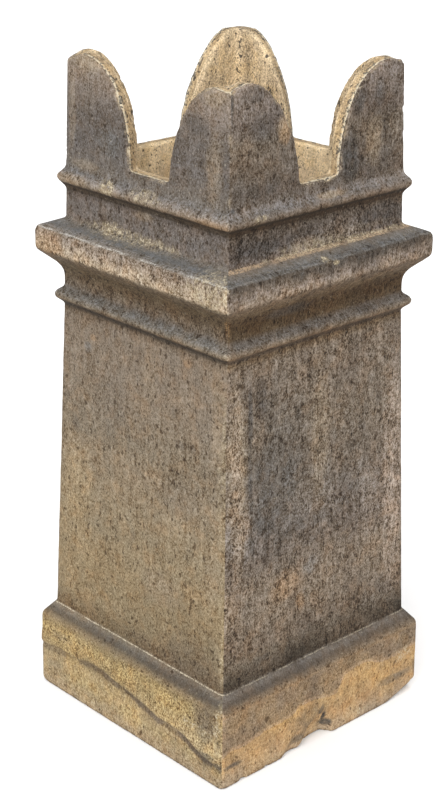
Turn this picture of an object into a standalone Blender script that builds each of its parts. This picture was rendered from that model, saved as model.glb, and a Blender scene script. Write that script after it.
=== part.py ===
# Square crown-top chimney pot in fireclay: one hollow casting, open at foot and top.
# Metres, +Z up, origin at the middle of the foot. The front wall faces -Y, the right wall +X.

import math

import bmesh
import bpy
from mathutils import Vector

# Plinth: what stands in the mortar bed
PLINTH_FOOT_WIDTH = 0.3854
PLINTH_TOP_WIDTH = 0.3826
PLINTH_SIDE_HEIGHT = 0.107
PLINTH_SHOULDER_RADIUS = 0.010
PLINTH_WASH_HEIGHT = 0.0132

# Shaft, tapering upwards
SHAFT_FOOT_WIDTH = 0.3528
SHAFT_TOP_WIDTH = 0.3224
SHAFT_LENGTH = 0.4500

# Bead under the cornice. Sharpness 1 gives a plain round bead, and more draws out its nose.
LOWER_BEAD_HEIGHT = 0.0220
LOWER_BEAD_PROJECTION = 0.0098
LOWER_BEAD_SHARPNESS = 1.1

# Cornice: hollow throat, sloping soffit, upright fascia and a wash on top
THROAT_WIDTH = 0.3190
THROAT_HEIGHT = 0.0150
CAVETTO_RADIUS = 0.0280
CAVETTO_TURN = math.radians(52)
SOFFIT_RISE = 0.0125
CORNICE_WIDTH = 0.3718
FASCIA_HEIGHT = 0.0330
FASCIA_ROUNDING = 0.0025
CORNICE_WASH_HEIGHT = 0.0110

# Neck, and the bead at the foot of the crown
NECK_FOOT_WIDTH = 0.3138
NECK_TOP_WIDTH = 0.3124
NECK_HEIGHT = 0.0400
UPPER_BEAD_HEIGHT = 0.0305
UPPER_BEAD_PROJECTION = 0.0088
UPPER_BEAD_SHARPNESS = 2.2

# Crown: four horns cut from one square wall
CROWN_FOOT_WIDTH = 0.3120
CROWN_TOP_WIDTH = 0.3039
CRENEL_FLOOR_RISE = 0.0100
HORN_HEIGHT = 0.1370

# Each wall's gap was cut by hand, so no two are the same. Sides are left and right as seen
# from outside. "outside" and "inside" say where each side stands at the floor on the outer
# and the inner face, from the wall's middle. "fullness" shapes the horn beside it: 2 is a
# quarter ellipse, less is leaner. "shoulder_drop" lowers that horn's shoulder, "floor_lift"
# raises the gap's floor, and "arris_dip" lowers the corner at the wall's right end.
CRENELS = {
    "front": {
        "outside": (-0.0275, 0.0475),
        "inside": (-0.0325, 0.0425),
        "fullness": (2.1, 1.85),
        "shoulder_drop": (0.0, 0.0055),
        "floor_lift": 0.0045,
        "arris_dip": 0.0060,
    },
    "right": {
        "outside": (-0.0362, 0.0338),
        "inside": (-0.0380, 0.0320),
        "fullness": (1.85, 2.0),
        "shoulder_drop": (0.0, 0.0),
        "floor_lift": 0.0035,
        "arris_dip": 0.0060,
    },
    "back": {
        "outside": (-0.0400, 0.0474),
        "inside": (-0.0360, 0.0360),
        "fullness": (1.75, 1.7),
        "shoulder_drop": (0.0030, 0.0),
        "floor_lift": -0.0010,
        "arris_dip": 0.0,
    },
    "left": {
        "outside": (-0.0410, 0.0460),
        "inside": (-0.0410, 0.0460),
        "fullness": (1.6, 1.65),
        "shoulder_drop": (0.0, 0.0),
        "floor_lift": 0.0,
        "arris_dip": 0.0115,
    },
}

# Walls and the flue
SHAFT_WALL = 0.0220
CROWN_WALL = 0.0200
FLUE_CORNER_RADIUS = 0.0100

# Worn arrises, as radii
PLINTH_ARRIS = 0.0060
SHAFT_ARRIS = 0.0090
MOULDING_ARRIS = 0.0045
CROWN_ARRIS = 0.0060

# Two flakes off the right wall's lower edge: where each starts along the wall, its width,
# its height on the face, its depths into the foot, and where along its width the first of
# these is reached
SMALL_FLAKE = (-0.0820, 0.0420, 0.0300, (0.0095, 0.0070), 0.35)
LARGE_FLAKE = (-0.0475, 0.0665, 0.0510, (0.0170, 0.0195), 0.04)
# Shares of a flake's width and height up its broken edge, and where its second depth lies
FLAKE_EDGE = ((0.0, 0.0), (0.20, 0.50), (0.55, 1.0), (0.78, 0.85), (1.0, 0.0))
FLAKE_RUN_OUT = 0.84
# The bend in a flake's hollow, as shares of its width, second depth and height
FLAKE_HOLLOW = (0.70, 0.50, 0.40)

# One flake off each of two lower corners: along X, along Y and up the arris
BACK_CORNER_CHIP = (0.0150, 0.0660, 0.0225)
LEFT_CORNER_CHIP = (0.0090, 0.0090, 0.0110)

# How finely curves are drawn
ARRIS_STEPS = 5
BEAD_STEPS = 8
CAVETTO_STEPS = 6
SHOULDER_STEPS = 4
FLANK_STEPS = 16

# How far cutters stand clear of the pot, and by what factor a chip's plane overruns it
CUTTER_MARGIN = 0.0100
CHIP_OVERRUN = 1.5

# Walls in turn, as seen from above: outward normal, then the way along the wall
WALLS = {
    "front": (Vector((0, -1, 0)), Vector((1, 0, 0))),
    "right": (Vector((1, 0, 0)), Vector((0, 1, 0))),
    "back": (Vector((0, 1, 0)), Vector((-1, 0, 0))),
    "left": (Vector((-1, 0, 0)), Vector((0, -1, 0))),
}

FIRECLAY_COLOUR = (0.36, 0.27, 0.18, 1.0)


def heights():
    """Levels of the pot's parts, stacked from the foot."""
    level = {"foot": 0.0}
    level["plinth_top"] = PLINTH_SIDE_HEIGHT
    level["shaft_foot"] = level["plinth_top"] + PLINTH_SHOULDER_RADIUS + PLINTH_WASH_HEIGHT
    level["shaft_top"] = level["shaft_foot"] + SHAFT_LENGTH
    level["throat"] = level["shaft_top"] + LOWER_BEAD_HEIGHT
    level["cavetto"] = level["throat"] + THROAT_HEIGHT
    level["soffit"] = level["cavetto"] + CAVETTO_RADIUS * math.sin(CAVETTO_TURN)
    level["fascia"] = level["soffit"] + SOFFIT_RISE
    level["wash"] = level["fascia"] + FASCIA_HEIGHT
    level["neck_foot"] = level["wash"] + CORNICE_WASH_HEIGHT
    level["neck_top"] = level["neck_foot"] + NECK_HEIGHT
    level["crown_foot"] = level["neck_top"] + UPPER_BEAD_HEIGHT
    level["crenel_floor"] = level["crown_foot"] + CRENEL_FLOOR_RISE
    level["crown_top"] = level["crenel_floor"] + HORN_HEIGHT
    return level


LEVEL = heights()


def between(low, high, share):
    """Value at a share of the way from low to high."""
    return low + (high - low) * share


def bead_rings(foot, top, foot_half, top_half, projection, sharpness):
    """Half-widths up a rounded bead between two plain walls."""
    rings = []
    for step in range(1, BEAD_STEPS):
        share = step / BEAD_STEPS
        bulge = projection * math.sin(math.pi * share) ** sharpness
        half = between(foot_half, top_half, share) + bulge
        rings.append((half, between(foot, top, share), MOULDING_ARRIS))
    return rings


def plinth_rings():
    """Plinth side, its rounded shoulder, and the wash up to the shaft."""
    foot_half = PLINTH_FOOT_WIDTH / 2
    top_half = PLINTH_TOP_WIDTH / 2
    rings = [(foot_half, LEVEL["foot"], PLINTH_ARRIS)]
    for step in range(SHOULDER_STEPS + 1):
        angle = math.pi / 4 * step / SHOULDER_STEPS
        half = top_half - PLINTH_SHOULDER_RADIUS * (1 - math.cos(angle))
        height = LEVEL["plinth_top"] + PLINTH_SHOULDER_RADIUS * math.sin(angle)
        rings.append((half, height, PLINTH_ARRIS))
    rings.append((SHAFT_FOOT_WIDTH / 2, LEVEL["shaft_foot"], SHAFT_ARRIS))
    return rings


def cornice_rings():
    """Throat, cavetto, sloping soffit, fascia with its edges taken off, and the wash."""
    throat_half = THROAT_WIDTH / 2
    cornice_half = CORNICE_WIDTH / 2
    rings = [(throat_half, LEVEL["throat"], MOULDING_ARRIS)]
    for step in range(CAVETTO_STEPS + 1):
        angle = CAVETTO_TURN * step / CAVETTO_STEPS
        half = throat_half + CAVETTO_RADIUS * (1 - math.cos(angle))
        height = LEVEL["cavetto"] + CAVETTO_RADIUS * math.sin(angle)
        rings.append((half, height, MOULDING_ARRIS))
    rings.append((cornice_half - FASCIA_ROUNDING, LEVEL["fascia"], MOULDING_ARRIS))
    rings.append((cornice_half, LEVEL["fascia"] + FASCIA_ROUNDING, MOULDING_ARRIS))
    rings.append((cornice_half, LEVEL["wash"] - FASCIA_ROUNDING, MOULDING_ARRIS))
    rings.append((cornice_half - FASCIA_ROUNDING, LEVEL["wash"], MOULDING_ARRIS))
    return rings


def outer_profile():
    """All outer rings from the foot to the foot of the crown: half-width, height, arris."""
    shaft_top = SHAFT_TOP_WIDTH / 2
    throat = THROAT_WIDTH / 2
    neck_top = NECK_TOP_WIDTH / 2
    crown_foot = CROWN_FOOT_WIDTH / 2
    rings = plinth_rings()
    rings.append((shaft_top, LEVEL["shaft_top"], SHAFT_ARRIS))
    rings += bead_rings(LEVEL["shaft_top"], LEVEL["throat"], shaft_top, throat,
                        LOWER_BEAD_PROJECTION, LOWER_BEAD_SHARPNESS)
    rings += cornice_rings()
    rings.append((NECK_FOOT_WIDTH / 2, LEVEL["neck_foot"], CROWN_ARRIS))
    rings.append((neck_top, LEVEL["neck_top"], CROWN_ARRIS))
    rings += bead_rings(LEVEL["neck_top"], LEVEL["crown_foot"], neck_top, crown_foot,
                        UPPER_BEAD_PROJECTION, UPPER_BEAD_SHARPNESS)
    rings.append((crown_foot, LEVEL["crown_foot"], CROWN_ARRIS))
    return rings


def flue_profile():
    """Inner rings from the foot of the crown down to the foot: half-width and height."""
    shaft_lean = (SHAFT_FOOT_WIDTH - SHAFT_TOP_WIDTH) / 2 / SHAFT_LENGTH
    foot_outer = SHAFT_FOOT_WIDTH / 2 + shaft_lean * LEVEL["shaft_foot"]
    return [
        (crown_half(LEVEL["crown_foot"]) - CROWN_WALL, LEVEL["crown_foot"]),
        (SHAFT_TOP_WIDTH / 2 - SHAFT_WALL, LEVEL["shaft_top"]),
        (foot_outer - SHAFT_WALL, LEVEL["foot"]),
    ]


def crown_half(height):
    """Half-width of the crown's leaning outer wall at a height."""
    share = (height - LEVEL["crown_foot"]) / (LEVEL["crown_top"] - LEVEL["crown_foot"])
    return between(CROWN_FOOT_WIDTH, CROWN_TOP_WIDTH, share) / 2


def corner_arc(wall, half, radius, height):
    """Points round the corner at the end of a wall, from that wall to the next."""
    normal, along = WALLS[wall]
    centre = (normal + along) * (half - radius)
    points = []
    for step in range(ARRIS_STEPS + 1):
        angle = math.pi / 2 * step / ARRIS_STEPS
        turn = normal * math.cos(angle) + along * math.sin(angle)
        points.append(centre + turn * radius + Vector((0, 0, height)))
    return points


def horn_shoulder():
    """How far along a wall, from its middle, the flat top of a horn begins."""
    return CROWN_TOP_WIDTH / 2 - CROWN_WALL - FLUE_CORNER_RADIUS


def crown_outline(wall, face):
    """Top edge along one wall's outside or inside face, as (distance along, height): horn,
    gap, horn."""
    cut = CRENELS[wall]
    floor = LEVEL["crenel_floor"] + cut["floor_lift"]
    points = []
    for end, side in enumerate((-1, 1)):
        power = 2 / cut["fullness"][end]
        climb = LEVEL["crown_top"] - cut["shoulder_drop"][end] - floor
        shoulder = side * horn_shoulder()
        flank = []
        for step in range(FLANK_STEPS + 1):
            angle = math.pi / 2 * step / FLANK_STEPS
            reach = math.cos(angle) ** power if step < FLANK_STEPS else 0.0
            distance = between(shoulder, cut[face][end], reach)
            flank.append((distance, floor + climb * math.sin(angle) ** power))
        points += reversed(flank) if side < 0 else flank
    return points


def crown_corner(wall, inset, radius, dip):
    """Top of a horn round the corner at the wall's right end, dipping towards the arris
    from the two shoulders beside it."""
    normal, along = WALLS[wall]
    names = list(WALLS)
    following = names[(names.index(wall) + 1) % len(names)]
    drop = CRENELS[wall]["shoulder_drop"][1]
    next_drop = CRENELS[following]["shoulder_drop"][0]
    half = CROWN_TOP_WIDTH / 2 - inset
    run = half - horn_shoulder()
    points = []
    for step, flat in enumerate(corner_arc(wall, half, radius, 0)):
        from_arris = half - min(flat.dot(normal), flat.dot(along))
        shoulder = LEVEL["crown_top"] - between(drop, next_drop, step / ARRIS_STEPS)
        height = shoulder - dip * (1 - from_arris / run) ** 2
        points.append(corner_arc(wall, crown_half(height) - inset, radius, height)[step])
    return points


def crown_loops():
    """Paired loops along the crown's top: the outer edge and the inner edge."""
    outer = []
    inner = []
    spans = []
    for wall, (normal, along) in WALLS.items():
        start = len(outer)
        for distance, height in crown_outline(wall, "outside"):
            face = normal * crown_half(height)
            outer.append(face + along * distance + Vector((0, 0, height)))
        for distance, height in crown_outline(wall, "inside"):
            face = normal * (crown_half(height) - CROWN_WALL)
            inner.append(face + along * distance + Vector((0, 0, height)))
        spans.append((start, len(outer)))
        outer += crown_corner(wall, 0.0, CROWN_ARRIS, CRENELS[wall]["arris_dip"])
        inner += crown_corner(wall, CROWN_WALL, FLUE_CORNER_RADIUS, 0.0)
    return outer, inner, spans


def ring_points(half, radius, height):
    """One closed ring: the four corner arcs in turn."""
    points = []
    for wall in WALLS:
        points += corner_arc(wall, half, radius, height)
    return points


def add_ring(mesh, points):
    """New vertices at the points."""
    return [mesh.verts.new(point) for point in points]


def bridge(mesh, low, high):
    """Faces between two rings of as many vertices, facing out when high lies above low."""
    count = len(low)
    for index in range(count):
        after = (index + 1) % count
        mesh.faces.new((low[index], low[after], high[after], high[index]))


def crown_faces(mesh, ring, loop, spans, flip):
    """One large face for each wall and a strip round each corner, from a ring up to a loop."""
    per_corner = ARRIS_STEPS + 1
    for number, (start, end) in enumerate(spans):
        corner = number * per_corner
        wall_start = ring[corner - 1]
        wall_end = ring[corner]
        lead = loop[start - 1]
        follow = loop[end]
        edge = [lead] + loop[start:end] + [follow]
        face = [wall_start, wall_end] + edge[::-1]
        mesh.faces.new(face[::-1] if flip else face)
        for step in range(ARRIS_STEPS):
            quad = (ring[corner + step], ring[corner + step + 1],
                    loop[end + step + 1], loop[end + step])
            mesh.faces.new(quad[::-1] if flip else quad)


def pot_mesh():
    """The whole casting as one closed mesh."""
    mesh = bmesh.new()
    outer_rings = []
    for half, height, radius in outer_profile():
        outer_rings.append(add_ring(mesh, ring_points(half, radius, height)))
    for low, high in zip(outer_rings, outer_rings[1:]):
        bridge(mesh, low, high)
    flue_rings = []
    for half, height in flue_profile():
        flue_rings.append(add_ring(mesh, ring_points(half, FLUE_CORNER_RADIUS, height)))
    for high, low in zip(flue_rings, flue_rings[1:]):
        bridge(mesh, high, low)
    bridge(mesh, flue_rings[-1], outer_rings[0])
    outer_points, inner_points, spans = crown_loops()
    outer_top = add_ring(mesh, outer_points)
    inner_top = add_ring(mesh, inner_points)
    crown_faces(mesh, outer_rings[-1], outer_top, spans, False)
    crown_faces(mesh, flue_rings[0], inner_top, spans, True)
    bridge(mesh, outer_top, inner_top)
    bmesh.ops.recalc_face_normals(mesh, faces=mesh.faces)
    data = bpy.data.meshes.new("chimney_pot")
    mesh.to_mesh(data)
    mesh.free()
    return data


def fireclay():
    """Weathered buff fireclay."""
    material = bpy.data.materials.new("fireclay")
    material.use_nodes = True
    shader = material.node_tree.nodes["Principled BSDF"]
    shader.inputs["Base Color"].default_value = FIRECLAY_COLOUR
    shader.inputs["Roughness"].default_value = 0.92
    shader.inputs["Metallic"].default_value = 0.0
    material.diffuse_color = FIRECLAY_COLOUR
    return material


def hull_cutter(name, points):
    """A hidden cutter: the convex hull of a few points."""
    mesh = bmesh.new()
    for point in points:
        mesh.verts.new(point)
    hull = bmesh.ops.convex_hull(mesh, input=mesh.verts)
    bmesh.ops.delete(mesh, geom=hull["geom_interior"], context="VERTS")
    bmesh.ops.recalc_face_normals(mesh, faces=mesh.faces)
    data = bpy.data.meshes.new(name)
    mesh.to_mesh(data)
    mesh.free()
    cutter = bpy.data.objects.new(name, data)
    cutter.hide_render = True
    cutter.display_type = "WIRE"
    bpy.context.scene.collection.objects.link(cutter)
    return cutter


def flake_cutter(name, flake):
    """A flake lost from the right wall's lower edge, deepest at the foot."""
    start, width, height, depths, run_in = flake
    face = PLINTH_FOOT_WIDTH / 2
    below = -CUTTER_MARGIN
    points = []
    for along, up in FLAKE_EDGE:
        place = start + along * width
        flare = (along - 0.5) * CUTTER_MARGIN
        points.append((face, place, up * height))
        points.append((face + CUTTER_MARGIN, place + flare, up * height + below * (1 - up)))
    bend_along, bend_in, bend_up = FLAKE_HOLLOW
    points.append((face - bend_in * depths[1], start + bend_along * width, bend_up * height))
    points.append((face - depths[0], start + run_in * width, below))
    points.append((face - depths[1], start + FLAKE_RUN_OUT * width, below))
    return hull_cutter(name, points)


def corner_chip_cutter(name, x_side, y_side, chip):
    """The flake lost from one lower corner: a flat break through three edges."""
    run_x, run_y, rise = chip
    half = PLINTH_FOOT_WIDTH / 2
    corner = Vector((x_side * half, y_side * half, 0))
    ends = [
        corner - Vector((x_side * run_x, 0, 0)),
        corner - Vector((0, y_side * run_y, 0)),
        corner + Vector((0, 0, rise)),
    ]
    middle = sum(ends, Vector()) / len(ends)
    points = [middle + (end - middle) * CHIP_OVERRUN for end in ends]
    points.append(corner + Vector((x_side, y_side, -1)) * max(chip))
    return hull_cutter(name, points)


def cut(target, cutter):
    """Take the cutter's space out of the target."""
    modifier = target.modifiers.new(cutter.name, "BOOLEAN")
    modifier.operation = "DIFFERENCE"
    modifier.solver = "EXACT"
    modifier.object = cutter


def build():
    """Clear the scene and make the pot."""
    for item in list(bpy.data.objects):
        bpy.data.objects.remove(item)
    pot = bpy.data.objects.new("chimney_pot", pot_mesh())
    bpy.context.scene.collection.objects.link(pot)
    pot.data.materials.append(fireclay())
    pot.data.shade_smooth()
    pot.data.set_sharp_from_angle(angle=math.radians(30))
    cut(pot, flake_cutter("small_flake_cutter", SMALL_FLAKE))
    cut(pot, flake_cutter("large_flake_cutter", LARGE_FLAKE))
    cut(pot, corner_chip_cutter("back_corner_cutter", 1, 1, BACK_CORNER_CHIP))
    cut(pot, corner_chip_cutter("left_corner_cutter", -1, -1, LEFT_CORNER_CHIP))


build()
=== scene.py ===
import bpy
import bmesh
from mathutils import Matrix, Vector


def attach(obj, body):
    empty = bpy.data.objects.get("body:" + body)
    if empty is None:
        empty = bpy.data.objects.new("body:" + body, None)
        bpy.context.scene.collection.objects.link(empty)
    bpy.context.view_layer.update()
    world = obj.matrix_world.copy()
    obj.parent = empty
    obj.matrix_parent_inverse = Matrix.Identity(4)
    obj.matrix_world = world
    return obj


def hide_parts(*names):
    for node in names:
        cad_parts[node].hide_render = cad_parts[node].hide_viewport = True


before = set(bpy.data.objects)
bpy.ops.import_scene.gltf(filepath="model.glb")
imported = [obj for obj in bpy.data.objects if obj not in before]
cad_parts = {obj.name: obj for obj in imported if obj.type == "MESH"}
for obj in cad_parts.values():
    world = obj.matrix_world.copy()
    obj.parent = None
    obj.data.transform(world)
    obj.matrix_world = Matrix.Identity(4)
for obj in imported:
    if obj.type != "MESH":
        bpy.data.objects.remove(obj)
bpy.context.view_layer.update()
print("frame loaded")


class Wire:
    # one socket of a node tree, usable in Python expressions
    def __init__(self, tree, socket):
        self.tree = tree
        self.socket = socket

    @staticmethod
    def node(tree, kind, settings=None, inputs=None, take=0):
        made = tree.nodes.new(kind)
        for name, value in (settings or {}).items():
            if name == "stops":
                fillRamp(made.color_ramp, value)
            elif name == "curve":
                fillCurve(made.mapping, value)
            else:
                setattr(made, name, value)
        ready = [s for s in made.inputs if s.enabled]
        for name, value in (inputs or {}).items():
            socket = ready[name] if isinstance(name, int) else next(s for s in ready if s.name == name)
            if isinstance(value, Wire):
                tree.links.new(value.socket, socket)
            else:
                socket.default_value = value
        given = [Wire(tree, s) for s in made.outputs if s.enabled]
        if take is None:
            return given
        if isinstance(take, str):
            return next(w for w in given if w.socket.name == take)
        return given[take]

    def isVector(self):
        return self.socket.type in ("VECTOR", "RGBA")

    def joined(self, operation, other, turned=False):
        pair = {0: other, 1: self} if turned else {0: self, 1: other}
        wide = self.isVector() or (isinstance(other, Wire) and other.isVector()) or isinstance(other, (tuple, Vector))
        kind = "ShaderNodeVectorMath" if wide else "ShaderNodeMath"
        if wide and isinstance(other, (int, float)):
            pair = {k: (v,) * 3 if v is other else v for k, v in pair.items()}
        return Wire.node(self.tree, kind, {"operation": operation}, pair)

    def __add__(self, other): return self.joined("ADD", other)
    def __radd__(self, other): return self.joined("ADD", other, True)
    def __sub__(self, other): return self.joined("SUBTRACT", other)
    def __rsub__(self, other): return self.joined("SUBTRACT", other, True)
    def __mul__(self, other): return self.joined("MULTIPLY", other)
    def __rmul__(self, other): return self.joined("MULTIPLY", other, True)
    def __truediv__(self, other): return self.joined("DIVIDE", other)
    def top(self, other): return self.joined("MAXIMUM", other)
    def least(self, other): return self.joined("MINIMUM", other)
    def size(self): return Wire.node(self.tree, "ShaderNodeMath", {"operation": "ABSOLUTE"}, {0: self})

    def length(self):
        return Wire.node(self.tree, "ShaderNodeVectorMath", {"operation": "LENGTH"}, {0: self}, "Value")

    def dot(self, other):
        return Wire.node(self.tree, "ShaderNodeVectorMath", {"operation": "DOT_PRODUCT"}, {0: self, 1: other}, "Value")

    def parts(self):
        return Wire.node(self.tree, "ShaderNodeSeparateXYZ", None, {0: self}, None)

    def rise(self, low, high, start=0.0, end=1.0):
        # 0 below low, 1 above high, smooth between
        return Wire.node(self.tree, "ShaderNodeMapRange", {"interpolation_type": "SMOOTHSTEP", "clamp": True},
                         {"Value": self, "From Min": low, "From Max": high, "To Min": start, "To Max": end})

    def between(self, low, high, soft):
        return self.rise(low - soft, low + soft) * self.rise(high - soft, high + soft, 1.0, 0.0)

    def mixed(self, other, share):
        # numbers: self where share is 0, other where it is 1
        return Wire.node(self.tree, "ShaderNodeMix", {"data_type": "FLOAT"}, {"Factor": share, "A": self, "B": other})

    def under(self, tone, share, blend="MIX"):
        # colours: tone laid over self where share is 1
        tone = tone if isinstance(tone, Wire) else (*tone, 1.0)
        return Wire.node(self.tree, "ShaderNodeMix", {"data_type": "RGBA", "blend_type": blend},
                         {"Factor": share, "A": self, "B": tone})

    def noise(self, scale, detail=2.0, roughness=0.5, stretch=None):
        place = self if stretch is None else self * stretch
        return Wire.node(self.tree, "ShaderNodeTexNoise", None,
                         {"Vector": place, "Scale": scale, "Detail": detail, "Roughness": roughness})

    def holes(self, scale, radius, share):
        # round dots in a share of the cells
        distance, hue = Wire.node(self.tree, "ShaderNodeTexVoronoi", None, {"Vector": self, "Scale": scale}, None)[:2]
        pick = hue.parts()[0]
        return distance.rise(radius * 0.55, radius, 1.0, 0.0) * pick.rise(1 - share - 0.02, 1 - share + 0.02)


def fillRamp(ramp, stops):
    ramp.interpolation = "LINEAR"
    while len(ramp.elements) < len(stops):
        ramp.elements.new(1.0)
    for element, (place, tone) in zip(ramp.elements, stops):
        element.position = place
        element.color = (*tone, 1.0)


def fillCurve(mapping, points):
    curve = mapping.curves[0]
    while len(curve.points) < len(points):
        curve.points.new(1.0, 1.0)
    for point, (across, up) in zip(curve.points, points):
        point.location = (across, up)
    mapping.update()


def vectorOf(tree, across, deep, up):
    return Wire.node(tree, "ShaderNodeCombineXYZ", None, {0: across, 1: deep, 2: up})


# the pot's main lines, shared by its shape and its finish, in metres
pot = {
    "shaftFoot": 0.1302, "shaftTop": 0.5802, "soffit": 0.63926, "fascia": 0.65176, "wash": 0.68476,
    "neckFoot": 0.69576, "neckTop": 0.73576, "crownFoot": 0.76626,
    "shaftLine": (0.1808, 0.0338),      # half width at height 0, and what it loses per metre
    "crownLine": (0.17684, 0.0272),
    # the fold line left by the mould low on the plinth's front: across, height
    "frontFold": [(-0.188, 0.064), (-0.148, 0.068), (-0.114, 0.068), (-0.069, 0.075), (-0.019, 0.068), (0.028, 0.062),
                  (0.069, 0.053), (0.109, 0.052), (0.149, 0.038), (0.172, 0.033), (0.191, 0.031)],
    # where the grey weathering ends on the plinth's right side
    "greyEnd": [(-0.192, 0.045), (-0.175, 0.057), (-0.15, 0.056), (-0.126, 0.060), (-0.104, 0.062), (-0.066, 0.062),
                (-0.047, 0.071), (-0.018, 0.071), (0.022, 0.063), (0.040, 0.086), (0.081, 0.089), (0.113, 0.077),
                (0.155, 0.076), (0.192, 0.080)],
}


def heightAlong(tree, across, points):
    # a height in metres read from a line drawn along a face
    half, tall = 0.2, 0.1
    shaped = [((a + half) / (half * 2), h / tall) for a, h in points]
    return Wire.node(tree, "ShaderNodeFloatCurve", {"curve": shaped}, {"Value": (across + half) / (half * 2)}) * tall


def readPlace(tree, place):
    # the shape's own directions: distance behind the outer face, place along the face, which face
    x, y, z = place.parts()
    wide, deep = x.size(), y.size()
    reach = wide.top(deep)
    side = (wide - deep).rise(-0.0008, 0.0008)
    along = x.mixed(y, side)
    positive = y.mixed(x, side).rise(-0.0001, 0.0001)
    inCrown = z.rise(0.7625, 0.7665)
    a, b = pot["shaftLine"], pot["crownLine"]
    wall = (a[0] - z * a[1]).mixed(b[0] - z * b[1], inCrown)
    return {"x": x, "y": y, "z": z, "side": side, "along": along, "positive": positive, "inCrown": inCrown,
            "depth": wall - reach}


def makeCamera():
    view = {
        "eye": (1.57227, -1.49848, 1.30619), "forward": (-0.676445, 0.637159, -0.369393),
        "right": (0.682917, 0.730436, 0.009333), "up": (-0.275764, 0.245952, 0.929226),
        "lens": 77.258, "sensorHeight": 36.0,
    }
    data = bpy.data.cameras.new("photoCamera")
    data.sensor_fit = "VERTICAL"
    data.sensor_height = view["sensorHeight"]
    data.lens = view["lens"]
    holder = bpy.data.objects.new("photoCamera", data)
    right, up, back, eye = Vector(view["right"]), Vector(view["up"]), -Vector(view["forward"]), Vector(view["eye"])
    holder.matrix_world = Matrix([(right[i], up[i], back[i], eye[i]) for i in range(3)] + [(0, 0, 0, 1)])
    bpy.context.scene.collection.objects.link(holder)
    bpy.context.scene.camera = holder


def makeStudio():
    studio = {"floorTone": (0.95, 0.95, 0.95), "floorReach": 60.0, "floorLevel": -0.0004, "world": 0.63}
    scene = bpy.context.scene
    scene.view_settings.view_transform = "Standard"
    world = bpy.data.worlds.new("paleRoom")
    world.use_nodes = True
    world.node_tree.nodes["Background"].inputs["Color"].default_value = (1.0, 1.0, 1.0, 1.0)
    world.node_tree.nodes["Background"].inputs["Strength"].default_value = studio["world"]
    scene.world = world

    r, low = studio["floorReach"], studio["floorLevel"]
    mesh = bpy.data.meshes.new("studioFloor")
    mesh.from_pydata([(-r, -r, low), (r, -r, low), (r, r, low), (-r, r, low)], [], [(0, 1, 2, 3)])
    floor = bpy.data.objects.new("studioFloor", mesh)
    paint = bpy.data.materials.new("paleFloor")
    paint.use_nodes = True
    shader = paint.node_tree.nodes["Principled BSDF"]
    shader.inputs["Base Color"].default_value = (*studio["floorTone"], 1.0)
    shader.inputs["Roughness"].default_value = 0.9
    shader.inputs["Specular IOR Level"].default_value = 0.1
    mesh.materials.append(paint)
    scene.collection.objects.link(floor)

    # name, where the light comes from, strength, width of the soft source in radians
    suns = [("softFront", (0.58, -0.81, 0.58), 2.76, 1.05), ("softTop", (0.05, -0.1, 1.0), 0.90, 1.2),
            ("softBack", (-0.7, 0.7, 0.7), 0.36, 1.2)]
    for name, source, strength, width in suns:
        data = bpy.data.lights.new(name, "SUN")
        data.energy = strength
        data.angle = width
        lamp = bpy.data.objects.new(name, data)
        lamp.matrix_world = (-Vector(source)).to_track_quat("-Z", "Y").to_matrix().to_4x4()
        scene.collection.objects.link(lamp)


# how strong the speckle is: parts at each scale, what each place adds, its share in red, green and blue
grain = {
    "fine": 3.4, "mid": 1.9, "mottle": 1.4, "streak": 0.9, "drift": 0.6,
    "everywhere": 1.12, "rightShaft": 0.45, "rightCrown": 0.34, "rightNeck": 0.85,
    "frontFascia": 0.36, "rightFascia": 0.2, "ledges": -0.45, "highFront": -0.2,
    "frontPlinth": -0.05, "rightPlinth": -0.30, "overFold": 0.55, "rightGrey": 0.25,
    "shares": (0.86, 0.98, 1.16),
    "raw": {"fine": 3.4, "mid": 0.4, "mottle": 0.2, "runs": 1.7},
}
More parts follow.
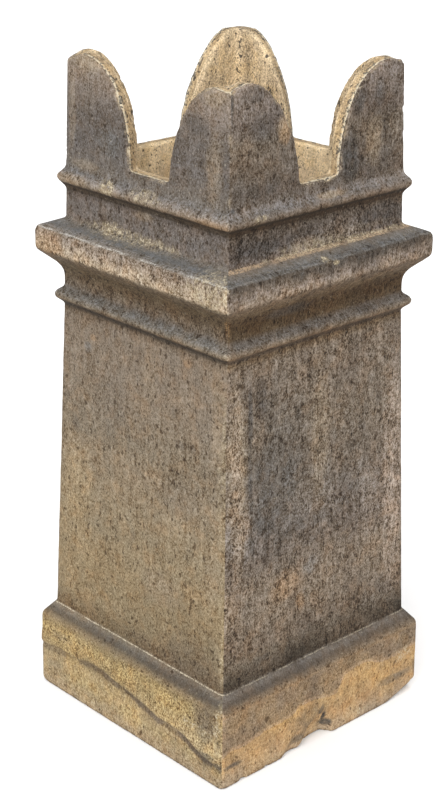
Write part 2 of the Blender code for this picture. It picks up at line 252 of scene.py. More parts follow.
# fireclay finish: tones are as lit, and gain turns them into surface colours
clay = {
    "gain": 0.70,
    "tones": {
        "charcoal": (0.075, 0.066, 0.058), "brown": (0.135, 0.098, 0.066), "greyBrown": (0.165, 0.135, 0.105),
        "blueGrey": (0.150, 0.148, 0.142), "orange": (0.44, 0.25, 0.11), "pink": (0.37, 0.285, 0.215),
        "tan": (0.33, 0.25, 0.165), "ochre": (0.42, 0.30, 0.155), "yellow": (0.46, 0.36, 0.20),
        # the last tone on the next line is a painted highlight along the wash's outer edge
        "olive": (0.18, 0.145, 0.085), "cream": (0.78, 0.68, 0.50), "white": (0.80, 0.77, 0.70),
        "rawClay": (0.81, 0.635, 0.405), "rawShade": (0.66, 0.51, 0.335),
        # the darkest tone on the next line is painted shadow under the beads, with some dirt
        "seam": (0.030, 0.020, 0.012), "apricot": (0.60, 0.43, 0.27),
    },
    "rampHeight": 0.92,                 # the height that a ramp spans
    "overGrey": (0.275, 0.195, 0.122),  # the plinth's right side above the grey weathering's end
    "darkest": 0.12,                    # the least share of its tone that a speck keeps
    # height and tone of the weathered skin on the front (-Y) and the right (+X): shaft, cornice, crown; they also hold
    # painted shade (dark bands under both beads, the darkened cavetto and soffit, a painted contact shadow at the
    # foot) and lighter bead noses, partly a painted highlight
    "frontShaft": [(0.000, (0.17, 0.125, 0.075)), (0.004, (0.404, 0.301, 0.181)), (0.030, (0.42, 0.318, 0.168)),
                   (0.055, (0.445, 0.333, 0.175)), (0.075, (0.359, 0.26, 0.122)), (0.095, (0.422, 0.305, 0.136)),
                   (0.104, (0.322, 0.233, 0.111)), (0.112, (0.261, 0.192, 0.111)), (0.120, (0.099, 0.084, 0.067)),
                   (0.1275, (0.225, 0.19, 0.148)), (0.1325, (0.155, 0.105, 0.056)), (0.145, (0.181, 0.132, 0.076)),
                   (0.16, (0.24, 0.181, 0.106)), (0.22, (0.276, 0.203, 0.114)), (0.30, (0.279, 0.214, 0.131)),
                   (0.38, (0.262, 0.2, 0.131)), (0.42, (0.221, 0.172, 0.116)), (0.50, (0.238, 0.183, 0.129)),
                   (0.565, (0.21, 0.162, 0.117)), (0.5745, (0.165, 0.12, 0.08)), (0.5790, (0.055, 0.039, 0.025))],
    "frontCornice": [(0.5810, (0.05, 0.035, 0.022)), (0.5855, (0.073, 0.047, 0.024)), (0.5872, (0.175, 0.123, 0.075)),
                     (0.5910, (0.181, 0.143, 0.101)), (0.596, (0.199, 0.181, 0.159)), (0.601, (0.144, 0.128, 0.11)),
                     (0.606, (0.136, 0.105, 0.077)), (0.612, (0.152, 0.113, 0.076)), (0.620, (0.106, 0.071, 0.04)),
                     (0.630, (0.095, 0.063, 0.032)), (0.6386, (0.1, 0.067, 0.033)), (0.648, (0.13, 0.087, 0.048)),
                     (0.6535, (0.125, 0.088, 0.052)), (0.6560, (0.43, 0.33, 0.225)), (0.662, (0.388, 0.302, 0.21)),
                     (0.674, (0.298, 0.231, 0.172)), (0.682, (0.251, 0.196, 0.148)), (0.6845, (0.259, 0.208, 0.16)),
                     (0.6868, (0.21, 0.19, 0.168)), (0.691, (0.128, 0.128, 0.128)), (0.6945, (0.20, 0.175, 0.147)),
                     (0.698, (0.16, 0.133, 0.108)), (0.703, (0.184, 0.151, 0.127)), (0.715, (0.154, 0.129, 0.11)),
                     (0.7300, (0.15, 0.121, 0.101)), (0.7345, (0.085, 0.065, 0.05))],
    "frontCrown": [(0.7358, (0.057, 0.041, 0.028)), (0.7460, (0.075, 0.049, 0.027)), (0.7478, (0.226, 0.165, 0.111)),
                   (0.752, (0.271, 0.217, 0.169)), (0.757, (0.232, 0.203, 0.181)), (0.762, (0.162, 0.145, 0.131)),
                   (0.770, (0.164, 0.14, 0.117)), (0.780, (0.14, 0.117, 0.097)), (0.800, (0.126, 0.107, 0.093)),
                   (0.840, (0.129, 0.108, 0.092)), (0.880, (0.221, 0.174, 0.137)), (0.9133, (0.269, 0.213, 0.158))],
    "rightShaft": [(0.000, (0.22, 0.15, 0.085)), (0.005, (0.478, 0.354, 0.224)), (0.030, (0.505, 0.331, 0.168)),
                   (0.060, (0.537, 0.338, 0.147)), (0.095, (0.50, 0.33, 0.165)), (0.104, (0.364, 0.239, 0.13)),
                   (0.112, (0.216, 0.155, 0.1)), (0.120, (0.122, 0.094, 0.07)), (0.1275, (0.19, 0.163, 0.138)),
                   (0.1325, (0.057, 0.04, 0.025)), (0.145, (0.071, 0.054, 0.036)), (0.16, (0.139, 0.106, 0.073)),
                   (0.18, (0.181, 0.133, 0.092)), (0.22, (0.229, 0.173, 0.121)), (0.26, (0.246, 0.188, 0.134)),
                   (0.30, (0.17, 0.132, 0.101)), (0.34, (0.215, 0.175, 0.141)), (0.40, (0.183, 0.144, 0.108)),
                   (0.46, (0.199, 0.155, 0.112)), (0.54, (0.202, 0.154, 0.111)), (0.565, (0.207, 0.157, 0.112)),
                   (0.5745, (0.155, 0.102, 0.055)), (0.5790, (0.075, 0.049, 0.03))],
    "rightCornice": [(0.5810, (0.07, 0.046, 0.028)), (0.5855, (0.16, 0.099, 0.053)), (0.5872, (0.202, 0.137, 0.082)),
                     (0.5910, (0.188, 0.14, 0.096)), (0.596, (0.182, 0.156, 0.133)), (0.601, (0.152, 0.128, 0.107)),
                     (0.606, (0.103, 0.068, 0.037)), (0.620, (0.078, 0.046, 0.02)), (0.630, (0.09, 0.054, 0.026)),
                     (0.6386, (0.146, 0.096, 0.05)), (0.648, (0.183, 0.124, 0.074)), (0.6540, (0.168, 0.116, 0.074)),
                     (0.6560, (0.291, 0.214, 0.149)), (0.662, (0.297, 0.229, 0.171)), (0.668, (0.248, 0.193, 0.151)),
                     (0.674, (0.173, 0.133, 0.099)), (0.680, (0.096, 0.075, 0.057)), (0.6842, (0.091, 0.072, 0.055)),
                     (0.6868, (0.165, 0.157, 0.148)), (0.691, (0.21, 0.185, 0.158)), (0.6945, (0.22, 0.165, 0.12)),
                     (0.698, (0.13, 0.10, 0.08)), (0.703, (0.135, 0.112, 0.095)), (0.712, (0.088, 0.072, 0.061)),
                     (0.7300, (0.105, 0.079, 0.058)), (0.7345, (0.075, 0.052, 0.033))],
    "rightCrown": [(0.7358, (0.053, 0.033, 0.019)), (0.7460, (0.061, 0.036, 0.019)), (0.7478, (0.168, 0.12, 0.081)),
                   (0.752, (0.203, 0.157, 0.121)), (0.757, (0.184, 0.162, 0.145)), (0.762, (0.225, 0.195, 0.174)),
                   (0.768, (0.154, 0.123, 0.097)), (0.780, (0.12, 0.094, 0.073)), (0.820, (0.165, 0.128, 0.095)),
                   (0.840, (0.169, 0.133, 0.098)), (0.860, (0.156, 0.121, 0.095)), (0.9133, (0.23, 0.182, 0.147))],
    # stains by tone: face (0 front, 1 right), place along, height, half width, half height, strength
    "stains": {
        "charcoal": [(1, -0.080, 0.400, 0.042, 0.105, 0.65), (1, -0.090, 0.510, 0.030, 0.035, 0.3),
                     (0, 0.120, 0.1185, 0.090, 0.006, 0.45), (1, -0.100, 0.1185, 0.110, 0.004, 0.35),
                     (1, -0.123, 0.500, 0.005, 0.048, 0.75), (1, -0.124, 0.405, 0.006, 0.060, 0.65),
                     (1, -0.122, 0.330, 0.007, 0.030, 0.5), (1, 0.060, 0.350, 0.030, 0.014, 0.3),
                     (0, -0.151, 0.451, 0.008, 0.013, 0.35), (0, -0.130, 0.414, 0.009, 0.013, 0.35),
                     (0, 0.069, 0.491, 0.012, 0.009, 0.3), (0, 0.080, 0.449, 0.011, 0.008, 0.3),
                     (0, 0.103, 0.450, 0.009, 0.007, 0.35), (0, -0.008, 0.292, 0.006, 0.012, 0.3),
                     (1, -0.103, 0.519, 0.014, 0.039, 0.7), (1, -0.096, 0.421, 0.030, 0.036, 0.75),
                     (1, -0.096, 0.353, 0.030, 0.032, 0.75), (1, -0.035, 0.327, 0.056, 0.016, 0.45),
                     (1, -0.039, 0.483, 0.006, 0.008, 0.75), (1, -0.050, 0.384, 0.010, 0.009, 0.65),
                     (1, 0.113, 0.471, 0.008, 0.023, 0.35), (1, 0.082, 0.435, 0.009, 0.020, 0.3),
                     (1, -0.102, 0.157, 0.012, 0.006, 0.5), (0, 0.093, 0.860, 0.024, 0.014, 0.5),
                     (1, -0.115, 0.899, 0.019, 0.012, 0.5), (1, -0.102, 0.857, 0.023, 0.019, 0.5),
                     (1, 0.050, 0.799, 0.018, 0.034, 1.0), (1, 0.066, 0.872, 0.013, 0.020, 0.75),
                     (1, 0.104, 0.870, 0.010, 0.022, 0.6), (1, 0.118, 0.812, 0.010, 0.030, 0.4),
                     (1, -0.097, 0.786, 0.035, 0.012, 0.4),
                     (1, -0.097, 0.715, 0.026, 0.012, 0.5), (1, 0.110, 0.722, 0.034, 0.011, 0.5),
                     (1, -0.149, 0.892, 0.0022, 0.028, 0.85), (1, -0.150, 0.767, 0.004, 0.004, 0.9),
                     (1, 0.187, 0.039, 0.005, 0.014, 0.5), (1, -0.004, 0.044, 0.005, 0.013, 1.0),
                     (1, 0.003, 0.030, 0.004, 0.012, 1.0), (1, 0.008, 0.018, 0.011, 0.008, 0.95),
                     (1, -0.050, 0.018, 0.014, 0.008, 0.7), (1, -0.030, 0.030, 0.020, 0.008, 0.35),
                     (0, 0.163, 0.040, 0.020, 0.006, 0.6), (0, 0.185, 0.034, 0.009, 0.006, 0.8),
                     (1, -0.172, 0.030, 0.020, 0.005, 0.8), (1, -0.060, 0.626, 0.045, 0.008, 0.5)],
        "greyBrown": [(0, -0.055, 0.470, 0.042, 0.052, 0.4), (0, 0.083, 0.374, 0.049, 0.027, 0.3),
                      (1, -0.063, 0.433, 0.052, 0.120, 0.5), (0, 0.160, 0.088, 0.030, 0.032, 0.5),
                      (1, -0.025, 0.046, 0.040, 0.020, 0.5),
                      (0, -0.160, 0.035, 0.022, 0.014, 0.35), (1, 0.146, 0.037, 0.040, 0.007, 0.65),
                      (1, 0.114, 0.180, 0.050, 0.022, 0.45), (0, -0.107, 0.858, 0.016, 0.025, 0.35),
                      (1, 0.164, 0.089, 0.022, 0.016, 0.3), (0, -0.146, 0.088, 0.030, 0.008, 0.3)],
        "blueGrey": [(0, -0.105, 0.532, 0.008, 0.008, 0.55), (0, -0.066, 0.808, 0.024, 0.022, 0.5),
                     (1, -0.016, 0.263, 0.022, 0.016, 0.4), (0, 0.067, 0.690, 0.036, 0.006, 0.5),
                     (1, -0.055, 0.395, 0.014, 0.040, 0.25), (1, -0.110, 0.385, 0.016, 0.020, 0.2)],
        "brown": [(0, 0.162, 0.090, 0.026, 0.030, 0.6), (0, 0.112, 0.147, 0.070, 0.040, 0.55),
                  (0, 0.020, 0.138, 0.050, 0.018, 0.3),
                  (1, -0.106, 0.145, 0.048, 0.016, 0.6), (1, 0.064, 0.146, 0.080, 0.020, 0.6),
                  (1, -0.102, 0.815, 0.034, 0.030, 0.35), (1, 0.051, 0.549, 0.008, 0.010, 0.5)],
        "tan": [(1, 0.001, 0.450, 0.018, 0.096, 0.5), (1, -0.146, 0.423, 0.016, 0.130, 0.95),
                (0, -0.107, 0.905, 0.026, 0.012, 0.8), (0, -0.139, 0.840, 0.008, 0.060, 0.35),
                (0, 0.126, 0.895, 0.018, 0.011, 0.65), (0, 0.128, 0.818, 0.017, 0.042, 0.45),
                (1, -0.065, 0.854, 0.013, 0.019, 0.8), (1, 0.094, 0.815, 0.016, 0.033, 0.55),
                (0, -0.115, 0.774, 0.028, 0.010, 0.4), (0, -0.125, 0.752, 0.034, 0.008, 0.6),
                (0, 0.147, 0.497, 0.012, 0.090, 0.4), (0, 0.004, 0.730, 0.018, 0.007, 0.4),
                (0, 0.020, 0.520, 0.020, 0.040, 0.3), (0, 0.148, 0.285, 0.018, 0.041, 0.35),
                (1, 0.013, 0.760, 0.026, 0.005, 0.8), (1, 0.030, 0.706, 0.100, 0.008, 0.3)],
        "orange": [(0, -0.095, 0.546, 0.006, 0.005, 0.3), (0, 0.091, 0.560, 0.010, 0.006, 0.25),
                   (1, -0.060, 0.246, 0.036, 0.022, 0.3), (1, -0.035, 0.218, 0.009, 0.015, 0.3),
                   (0, -0.155, 0.668, 0.030, 0.018, 0.3), (0, 0.131, 0.748, 0.030, 0.006, 0.3),
                   (1, 0.159, 0.067, 0.024, 0.012, 0.35), (1, -0.063, 0.850, 0.012, 0.018, 0.35),
                   (0, 0.166, 0.622, 0.010, 0.014, 0.8), (1, -0.166, 0.620, 0.010, 0.013, 0.7),
                   (1, -0.150, 0.405, 0.006, 0.006, 0.6)],
        "pink": [(1, -0.148, 0.400, 0.011, 0.150, 0.5), (1, 0.100, 0.320, 0.030, 0.060, 0.25),
                 (1, 0.148, 0.353, 0.028, 0.180, 0.85), (1, -0.138, 0.360, 0.016, 0.022, 0.5),
                 (0, 0.049, 0.233, 0.042, 0.028, 0.25), (0, 0.080, 0.046, 0.041, 0.012, 0.15),
                 (1, 0.035, 0.712, 0.050, 0.018, 0.3), (1, -0.028, 0.704, 0.032, 0.012, 0.35),
                 (0, -0.145, 0.464, 0.008, 0.010, 0.3)],
        "ochre": [(0, -0.125, 0.333, 0.034, 0.070, 0.35), (0, -0.092, 0.190, 0.066, 0.066, 0.2),
                  (1, 0.011, 0.054, 0.050, 0.020, 0.3)],
        "olive": [(0, -0.090, 0.022, 0.055, 0.013, 0.15), (0, -0.031, 0.140, 0.042, 0.020, 0.35),
                  (0, 0.020, 0.200, 0.090, 0.050, 0.2)],
    },
    # crisp lines along the mouldings: lower and upper height, tone, strength on the front and on the right; the dark
    # lines are painted shadow under the beads with some dirt, the pale line at 0.684 is a painted highlight along the
    # wash's outer edge
    "lines": [(0.1288, 0.1304, "cream", 0.75, 0.35), (0.5815, 0.5848, "seam", 0.8, 0.3),
              (0.7410, 0.7450, "seam", 0.65, 0.7), (0.6843, 0.6857, "white", 0.6, 0.12),
              (0.6926, 0.6958, "apricot", 0.0, 0.8)],
    # granular lichen and lime: the same figures
    "lichen": [(0, -0.062, 0.754, 0.016, 0.009, 0.9), (0, 0.007, 0.756, 0.030, 0.009, 0.6),
               (0, -0.057, 0.700, 0.026, 0.009, 0.9), (0, -0.020, 0.699, 0.095, 0.008, 0.65),
               (0, 0.153, 0.675, 0.036, 0.022, 0.7), (0, 0.182, 0.677, 0.007, 0.016, 0.9),
               (1, -0.014, 0.686, 0.007, 0.003, 1.0), (1, 0.001, 0.681, 0.006, 0.0035, 1.0),
               (1, 0.036, 0.696, 0.13, 0.0035, 0.7), (1, 0.076, 0.012, 0.015, 0.008, 0.8),
               (0, 0.145, 0.073, 0.040, 0.006, 0.7), (0, 0.181, 0.085, 0.008, 0.045, 0.7),
               (0, -0.074, 0.011, 0.009, 0.004, 0.7), (1, -0.109, 0.752, 0.012, 0.005, 0.7),
               (0, 0.173, 0.182, 0.007, 0.040, 0.7), (0, 0.160, 0.44, 0.010, 0.11, 0.3),
               (1, 0.160, 0.067, 0.022, 0.012, 0.5), (1, -0.020, 0.702, 0.05, 0.006, 0.4)],
}


def clayMaterial():
    material = bpy.data.materials.new("weatheredFireclay")
    material.use_nodes = True
    tree = material.node_tree
    shader = tree.nodes["Principled BSDF"]
    gain = clay["gain"]
    tones = {name: tuple(c * gain for c in tone) for name, tone in clay["tones"].items()}
    place = Wire.node(tree, "ShaderNodeTexCoord", take="Object")
    here = readPlace(tree, place)
    z, depth, along = here["z"], here["depth"], here["along"]
    right = here["side"] * here["positive"]
    front = (1 - here["side"]) * (1 - here["positive"])
    seen = right + front

    # noises from broad to fine
    cloud = place.noise(9.0, 3.0, 0.55)
    drift = (place + (3.1, 1.7, 0.4)).noise(21.0, 4.0, 0.6)
    mottle = place.noise(75.0, 4.0, 0.62)
    streak = place.noise(150.0, 3.0, 0.6, (1.0, 1.0, 0.10))
    runs = place.noise(46.0, 3.0, 0.6, (1.0, 1.0, 0.14))
    fine = place.noise(450.0, 2.0, 0.85, (1.0, 1.0, 0.75))
    mid = (place + (5.0, 2.0, 1.0)).noise(140.0, 2.0, 0.8, (1.0, 1.0, 0.75))
    hue = (place + (2.0, 5.0, 4.0)).noise(42.0, 4.0, 0.65)
    grit = (place + (1.0, 7.0, 3.0)).noise(430.0, 1.0, 0.6)
    dots = (place + (6.0, 4.0, 2.0)).noise(190.0, 1.0, 0.5, (1.0, 1.0, 0.7))
    sparse = (place + (9.0, 1.0, 6.0)).noise(85.0, 2.0, 0.5, (1.0, 1.0, 0.7))
    flecks = (place + (1.0, 9.0, 8.0)).noise(300.0, 1.0, 0.5)

    # the skin's tone by height, with its painted shade under the beads, in the cavetto and soffit and at the foot; its
    # edges ragged on the fascia
    ragged = z.between(pot["fascia"] + 0.010, pot["wash"] - 0.004, 0.003)
    shifted = z + (runs - 0.5) * 0.026 * ragged + (mottle - 0.5) * 0.0025
    cornice = z.rise(pot["shaftTop"] - 0.0003, pot["shaftTop"] + 0.0003)
    crown = z.rise(pot["neckTop"] - 0.0006, pot["neckTop"])

    def skinOf(side):
        ramps = []
        for name in (side + "Shaft", side + "Cornice", side + "Crown"):
            stops = [(h / clay["rampHeight"], tuple(c * gain for c in tone)) for h, tone in clay[name]]
            ramps.append(Wire.node(tree, "ShaderNodeValToRGB", {"stops": stops}, {0: shifted / clay["rampHeight"]}))
        return ramps[0].under(ramps[1], cornice).under(ramps[2], crown)

    turn = (here["x"] + here["y"]) * -1.4 + 0.5 + (cloud - 0.5) * 1.6
    frontShare = turn.rise(0.0, 1.0) * (1 - seen) + front
    skin = skinOf("right").under(skinOf("front"), frontShare)

    # the plinth: grey weathering ends along a line on the right, a fold line shows on the front
    greyEnd = heightAlong(tree, along, pot["greyEnd"])
    overGrey = z - greyEnd + (mottle - 0.5) * 0.012
    onPlinth = z.rise(0.104, 0.108, 1.0, 0.0)
    grey = overGrey.rise(-0.002, 0.002) * onPlinth * right
    skin = skin.under(tuple(c * gain for c in clay["overGrey"]), grey * 0.92)
    skin = skin.under(tones["pink"], overGrey.between(-0.004, 0.000, 0.002) * onPlinth * right * 0.55)
    fold = z - heightAlong(tree, along, pot["frontFold"])
    overFold = fold.rise(-0.002, 0.002)
    foldLine = (fold + (mottle - 0.5) * 0.008 + (drift - 0.5) * 0.012).between(-0.0085, 0.0008, 0.0036)
    foldLine = foldLine * front * onPlinth * drift.rise(0.36, 0.50, 0.45, 1.0)
    shadow = (fold + (mottle - 0.5) * 0.010).between(-0.0220, -0.0030, 0.007) * front * onPlinth
    skin = skin.under((0.80, 0.78, 0.78), shadow * 0.5, "MULTIPLY")
    skin = skin.under(tones["brown"], foldLine * along.rise(-0.19, 0.05, 0.5, 0.85))
    skin = skin.under(tones["charcoal"], foldLine * along.rise(0.09, 0.17) * 0.5)
    skin = skin.under((0.80, 0.78, 0.80), drift.rise(0.46, 0.60) * onPlinth * 0.45, "MULTIPLY")
    skin = skin.under((1.16, 1.12, 1.0), drift.rise(0.52, 0.40) * onPlinth * 0.6, "MULTIPLY")

    # broad changes of tone, then stains in their own places
    skin = skin.under((1.22, 1.19, 1.14), cloud.rise(0.42, 0.68) * 0.5, "MULTIPLY")
    skin = skin.under((0.74, 0.75, 0.77), drift.rise(0.46, 0.66) * 0.45, "MULTIPLY")
    soiled = (place + (7.0, 3.0, 5.0)).noise(19.0, 4.0, 0.6, (1.0, 1.0, 0.5)).rise(0.50, 0.62)
    skin = skin.under((0.70, 0.69, 0.70), soiled * (right * 0.4 + 0.15), "MULTIPLY")
    faceCode = (1 - here["positive"]) * (here["side"] * 30.0) + here["positive"] * (20.0 - here["side"] * 10.0)
    onFace = vectorOf(tree, along, z, faceCode)
    wobble = (mottle - 0.5) * 1.5 + (drift - 0.5) * 0.8

    def spots(rows):
        total = None
        for face, across, height, halfWidth, halfHeight, strength in rows:
            away = ((onFace - (across, height, face * 10.0)) * (1 / halfWidth, 1 / halfHeight, 1.0)).length()
            mask = (away + wobble).rise(0.45, 1.25, strength, 0.0)
            total = mask if total is None else total.top(mask)
        return total

    for name, rows in clay["stains"].items():
        skin = skin.under(tones[name], spots(rows) * mottle.rise(0.3, 0.6, 0.55, 1.0))

    # speckle of the coarse fired clay, about as strong at every scale, and soft vertical washing
    tall = z.rise(0.13, 0.2) * 0.6 + 0.4
    onShaft = z.between(pot["shaftFoot"], pot["shaftTop"], 0.002)
    onFascia = z.between(pot["soffit"] - 0.035, pot["wash"], 0.002)
    onNeck = z.between(pot["neckFoot"], pot["neckTop"], 0.002)
    onCrown = z.rise(pot["crownFoot"] - 0.004, pot["crownFoot"])
    ledges = z.between(0.113, 0.1296, 0.002) + z.between(pot["wash"] + 0.004, pot["neckFoot"] - 0.002, 0.001)
    lowFront = front * z.rise(0.42, 0.30)
    coarse = grain["everywhere"] + onShaft * right * grain["rightShaft"] + onCrown * right * grain["rightCrown"]
    coarse = coarse + onFascia * (front * grain["frontFascia"] + right * grain["rightFascia"])
    coarse = coarse + onNeck * right * grain["rightNeck"] + ledges * grain["ledges"]
    coarse = coarse + onPlinth * (overFold * grain["overFold"] + grain["frontPlinth"]) * front
    coarse = coarse + onPlinth * right * grain["rightPlinth"] + grey * grain["rightGrey"]
    coarse = coarse + onShaft * front * z.rise(0.44, 0.54) * grain["highFront"]
    soft = 0.60 - onCrown * (0.10 - right * 0.22) + onShaft * right * 0.19 - lowFront * 0.22
    shade = (fine - 0.5) * grain["fine"] + ((mid - 0.5) * grain["mid"] + (mottle - 0.5) * grain["mottle"]) * soft
    shade = (shade + (streak - 0.5) * tall * grain["streak"] + (drift - 0.5) * grain["drift"]) * coarse
    skin = skin * vectorOf(tree, *(shade * share + 1 for share in grain["shares"])).top((clay["darkest"],) * 3)
    skin = skin.under((1.12, 0.99, 0.86), hue.rise(0.5, 0.64) * 0.5, "MULTIPLY")
    skin = skin.under((0.91, 1.0, 1.11), hue.rise(0.5, 0.38) * 0.28, "MULTIPLY")
    pits = (dots - onCrown * 0.03 - ledges * 0.05 - onPlinth * 0.035 - lowFront * 0.015).rise(0.645, 0.70)
    pits = pits.top((sparse + onShaft * right * 0.025).rise(0.69, 0.74))
    skin = skin.under((0.34, 0.28, 0.22), pits * 0.85, "MULTIPLY")
    for low, high, tone, onFront, onRight in clay["lines"]:
        dark = tone == "seam"
        line = (z + (mottle - 0.5) * 0.002).between(low, high, 0.0009 if dark else 0.0004)
        line = line * (frontShare * (onFront - onRight) + onRight)
        if not dark:
            line = line * grit.rise(0.42, 0.54, 0.12, 1.0) * drift.rise(0.38, 0.50, 0.15, 1.0)
        skin = skin.under(tones[tone], line)
    skin = skin.under(tones["cream"], flecks.rise(0.69, 0.76) * 0.2)

    # raw clay: broken rims, gap floors and the inside of the flue
    inside = (depth - (1 - here["inCrown"]) * 0.004).rise(0.0024, 0.0036)
    raw = Wire.node(tree, "ShaderNodeMix", {"data_type": "RGBA"},
                    {"Factor": drift.rise(0.4, 0.68), "A": (*tones["rawClay"], 1.0), "B": (*tones["rawShade"], 1.0)})
    bold = z.rise(0.77, 0.81, 0.55, 1.0)
    part = grain["raw"]
    shade = (fine - 0.5) * part["fine"] + (mid - 0.5) * part["mid"]
    shade = shade + (mottle - 0.5) * part["mottle"] + (runs - 0.5) * part["runs"]
    raw = raw * (1 + shade * bold).top(clay["darkest"])
    raw = raw.under((0.92, 0.84, 0.68), hue.rise(0.48, 0.62) * 0.5, "MULTIPLY")
    corner = (here["x"].size() - here["y"].size()).size().rise(0.003, 0.009, 0.09, 0.0) * z.rise(0.79, 0.81)
    rawPits = (dots + corner).rise(0.68, 0.73).top(sparse.rise(0.70, 0.74)).top((grit + corner * 0.6).rise(0.66, 0.72))
    raw = raw.under(tones["charcoal"], rawPits * 0.9)
    # painted light: the flue's inner walls lower down made lighter, standing in for light that reaches into the flue
    raw = raw.under((1.34, 1.38, 1.42), depth.rise(0.016, 0.019) * z.rise(0.835, 0.775), "MULTIPLY")
    soot = z.rise(0.74, 0.40) * depth.rise(0.012, 0.018)
    raw = raw.under((0.35, 0.33, 0.32), soot * 0.8, "MULTIPLY")
    onCut = z.rise(0.74, 0.76)
    cutFace = depth.rise(0.0040, 0.0060) * depth.rise(0.0140, 0.0165, 1.0, 0.0) * onCut
    raw = raw.under((0.66, 0.62, 0.56), cutFace * 0.9, "MULTIPLY")
    gaps = (place + (3.0, 3.0, 9.0)).noise(210.0, 2.0, 0.6)
    raw = raw.under(tones["charcoal"], depth.between(0.0035, 0.0095, 0.001) * onCut * gaps.rise(0.50, 0.58) * 0.8)
    rim = depth.rise(0.0024, 0.0030) * (depth + (mottle - 0.5) * 0.006).rise(0.0045, 0.0075, 1.0, 0.0) * onCut
    raw = raw.under(tones["cream"], rim * grit.rise(0.38, 0.52))
    raw = raw.under(tones["charcoal"], rim * gaps.rise(0.54, 0.60) * 0.85)

    # worn arrises with a painted highlight, chips, and painted shade in the hollows
    edge = Wire.node(tree, "ShaderNodeAttribute", {"attribute_name": "edge"}, take="Fac")
    chip = Wire.node(tree, "ShaderNodeAttribute", {"attribute_name": "chip"}, take="Fac")
    hollow = Wire.node(tree, "ShaderNodeAttribute", {"attribute_name": "hollow"}, take="Fac")
    # painted shade: concave places darkened towards charcoal where shade falls
    skin = skin.under(tones["charcoal"], hollow * 0.55)
    worn = edge * mottle.rise(0.40, 0.62)
    # arrises lightened: lighter worn clay, and a painted highlight on the edges
    skin = skin.under((1.5, 1.38, 1.25), worn * 0.6, "MULTIPLY")
    skin = skin.under(tones["cream"], worn * grit.rise(0.50, 0.60) * 0.5)
    crust = spots(clay["lichen"])
    skin = skin.under(tones["yellow"], crust * mid.rise(0.36, 0.60) * 0.55)
    skin = skin.under(tones["cream"], crust * grit.rise(0.50, 0.62) * mid.rise(0.38, 0.58))
    skin = skin.under(tones["rawClay"], chip * 0.6)
    finish = skin.under(raw, inside)
    tree.links.new(finish.socket, shader.inputs["Base Color"])

    rough = 0.86 + (fine - 0.5) * 0.2 - z.between(pot["wash"], pot["neckFoot"], 0.002) * 0.12
    tree.links.new(rough.least(1.0).socket, shader.inputs["Roughness"])
    shader.inputs["Specular IOR Level"].default_value = 0.24

    relief = fine * 0.45 + mid * 0.55 + mottle * 0.7 - pits.top(rawPits) * 0.7
    bump = Wire.node(tree, "ShaderNodeBump", None, {"Strength": 0.75, "Distance": 0.0016, "Height": relief})
    tree.links.new(bump.socket, shader.inputs["Normal"])
    return material


# how the fired clay has worn: depths and heights in metres, reaches in blur steps
weather = {
    "Edge wear": 0.45, "Chip depth": 0.0019, "Crown chip depth": 0.0042, "Undulation": 0.0007, "Lump height": 0.00055,
    "Pit depth": 0.0010, "Fold height": 0.0017, "Spall roughness": 0.0016, "Edge reach": 8, "Hollow reach": 30,
    "Seed": 4.0,
}
grid = {"voxel": 0.0024, "quickVoxel": 0.004, "triangles": 192000}
# the fold on the plinth's right wall, and where folds fade out below the plinth's top
folds = {"rightHeight": 0.031, "rightStart": -0.19, "rightSlope": 0.12, "fadeOut": (0.098, 0.104)}
# the flake at the foot of the right wall: its middle, and one over its reach each way
flake = {"centre": (0.190, -0.012, 0.026), "squeeze": (8.0, 26.0, 34.0)}
# nicks knocked out of the arrises: place and radius
nicks = [((-0.0435, -0.152, 0.866), 0.0080), ((0.152, 0.150, 0.846), 0.005), ((0.154, 0.152, 0.815), 0.004),
         ((0.192, -0.154, 0.001), 0.006), ((0.192, -0.110, 0.000), 0.004), ((-0.030, -0.152, 0.842), 0.004)]


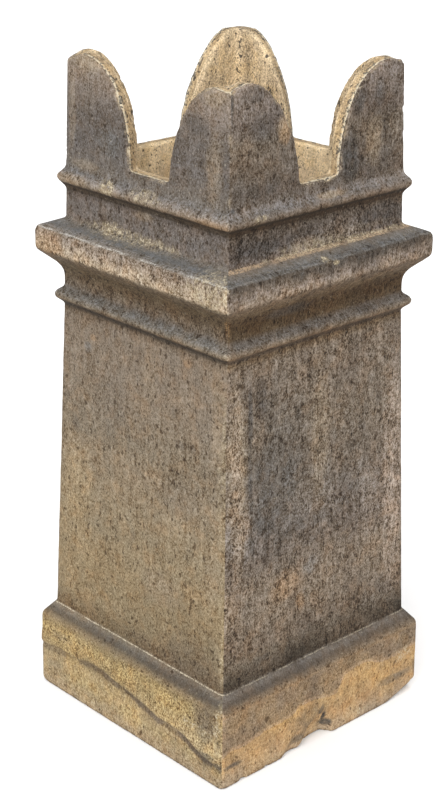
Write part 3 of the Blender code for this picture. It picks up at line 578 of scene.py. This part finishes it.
def weatheringTree(material):
    tree = bpy.data.node_groups.new("clayWeathering", "GeometryNodeTree")
    tree.interface.new_socket("Geometry", in_out="INPUT", socket_type="NodeSocketGeometry")
    keys = {}
    for name, value in weather.items():
        kind = "NodeSocketInt" if isinstance(value, int) else "NodeSocketFloat"
        keys[name] = tree.interface.new_socket(name, in_out="INPUT", socket_type=kind).identifier
    tree.interface.new_socket("Geometry", in_out="OUTPUT", socket_type="NodeSocketGeometry")
    given = {w.socket.name: w for w in Wire.node(tree, "NodeGroupInput", take=None)}

    place = Wire.node(tree, "GeometryNodeInputPosition")
    facing = Wire.node(tree, "GeometryNodeInputNormal")
    here = readPlace(tree, place)
    z, depth = here["z"], here["depth"]
    near = Wire.node(tree, "GeometryNodeBlurAttribute", {"data_type": "FLOAT_VECTOR"},
                     {0: place, "Iterations": given["Edge reach"]})
    wide = Wire.node(tree, "GeometryNodeBlurAttribute", {"data_type": "FLOAT_VECTOR"},
                     {0: place, "Iterations": given["Hollow reach"]})
    bulge = (place - near).dot(facing)
    dip = (wide - place).dot(facing)
    right = here["side"] * here["positive"]
    front = (1 - here["side"]) * (1 - here["positive"])
    flue = depth.rise(0.013, 0.018) * z.rise(0.770, 0.776, 1.0, 0.0)
    skin = 1 - flue
    seeded = place + vectorOf(tree, given["Seed"], 0.0, 0.0)

    # chips come out of the sharp edges, and broader breaks out of the crown's
    sharp = bulge.rise(0.0011, 0.0021) * skin
    bites = seeded.noise(48.0, 3.0, 0.6).rise(0.50, 0.64) + seeded.noise(150.0, 2.0, 0.6).rise(0.50, 0.66) * 0.45
    crown = z.rise(0.770, 0.778)
    broken = (place - wide).dot(facing).rise(0.0020, 0.0045) * seeded.noise(44.0, 4.0, 0.65).rise(0.51, 0.60) * crown
    cut = sharp * bites * given["Chip depth"] + broken * given["Crown chip depth"]
    swell = (seeded.noise(6.5, 2.0, 0.5) - 0.5) * 2.0 * given["Undulation"]
    lumps = (seeded.noise(58.0, 3.0, 0.55) - 0.5) * 2.0 * given["Lump height"]
    pits = seeded.holes(52.0, 0.20, 0.35) * given["Pit depth"]

    fold = z - heightAlong(tree, here["x"], pot["frontFold"])
    lip = fold.rise(-0.002, 0.004) * fold.rise(0.008, 0.026, 1.0, 0.0) - fold.between(-0.0055, -0.0015, 0.002)
    foldRight = z - (folds["rightHeight"] + (here["y"] - folds["rightStart"]) * folds["rightSlope"])
    lipRight = foldRight.between(-0.004, 0.0, 0.002) * here["y"].rise(-0.08, -0.15) * -0.7
    ridge = (lip * front + lipRight * right) * z.rise(*folds["fadeOut"], 1.0, 0.0) * given["Fold height"]
    spall = ((place - flake["centre"]) * flake["squeeze"]).length().rise(0.7, 1.15, 1.0, 0.0)
    rubble = (seeded.noise(95.0, 3.0, 0.65) - 0.62) * spall * 2.0 * given["Spall roughness"]
    push = (swell + lumps * (1 - sharp) - pits - cut + ridge + rubble) * (skin * 0.9 + 0.1)
    for centre, radius in nicks:
        push = push - (place - centre).length().rise(radius * 0.35, radius * 1.2, radius * 0.42, 0.0)
    moved = (near - place) * (sharp * given["Edge wear"]) + facing * push

    marks = {"edge": bulge.rise(0.0007, 0.0018) * skin, "hollow": dip.rise(0.0022, 0.0060) * skin,
             "chip": (sharp * bites).rise(0.55, 1.0).top(broken)}
    shape = given["Geometry"]
    for name, value in marks.items():
        shape = Wire.node(tree, "GeometryNodeStoreNamedAttribute", {"data_type": "FLOAT", "domain": "POINT"},
                          {"Geometry": shape, "Name": name, "Value": value})
    shape = Wire.node(tree, "GeometryNodeSetPosition", None, {"Geometry": shape, "Offset": moved})
    shape = Wire.node(tree, "GeometryNodeSetShadeSmooth", None, {"Geometry": shape, "Shade Smooth": True})
    shape = Wire.node(tree, "GeometryNodeRealizeInstances", None, {"Geometry": shape})
    shape = Wire.node(tree, "GeometryNodeSetMaterial", None, {"Geometry": shape, "Material": material})
    Wire.node(tree, "NodeGroupOutput", None, {"Geometry": shape}, None)
    return tree, keys


def plainMesh(piece, name):
    # the evaluated piece as a mesh of its own
    bpy.context.view_layer.update()
    graph = bpy.context.evaluated_depsgraph_get()
    mesh = bpy.data.meshes.new_from_object(piece.evaluated_get(graph), preserve_all_data_layers=True, depsgraph=graph)
    mesh.name = name
    return mesh


def trianglesOf(mesh):
    mesh.calc_loop_triangles()
    return len(mesh.loop_triangles)


def makePot(material):
    voxel = grid["voxel"]
    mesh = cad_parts["chimney_pot"].data.copy()
    merged = bmesh.new()
    merged.from_mesh(mesh)
    bmesh.ops.remove_doubles(merged, verts=merged.verts, dist=0.000001)
    merged.to_mesh(mesh)
    merged.free()
    mesh.materials.clear()
    piece = bpy.data.objects.new("weathered_pot", mesh)
    bpy.context.scene.collection.objects.link(piece)

    even = piece.modifiers.new("evenSkin", "REMESH")
    even.mode = "VOXEL"
    even.voxel_size = voxel
    even.use_smooth_shade = True
    tree, keys = weatheringTree(material)
    wear = piece.modifiers.new("clayWeathering", "NODES")
    wear.node_group = tree
    shrink = (grid["voxel"] / voxel) ** 2      # a blur step reaches as far as the grid is wide
    for name, value in weather.items():
        wear[keys[name]] = max(2, round(value * shrink)) if isinstance(value, int) else value
    worn = plainMesh(piece, "weatheredPot")
    piece.modifiers.clear()
    piece.data = worn
    print("pot worn:", trianglesOf(worn), "triangles")

    share = grid["triangles"] / trianglesOf(worn)
    if share < 1:
        fewer = piece.modifiers.new("fewerFaces", "DECIMATE")
        fewer.ratio = share
        piece.data, spare = plainMesh(piece, "weatheredPot"), worn
        piece.modifiers.clear()
        bpy.data.meshes.remove(spare)
    for polygon in piece.data.polygons:
        polygon.use_smooth = True
    print("pot finished:", trianglesOf(piece.data), "triangles")
    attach(piece, "root")
    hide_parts("chimney_pot")
    return piece


makeCamera()
makeStudio()
print("camera and studio set")
makePot(clayMaterial())
print("pot in place")
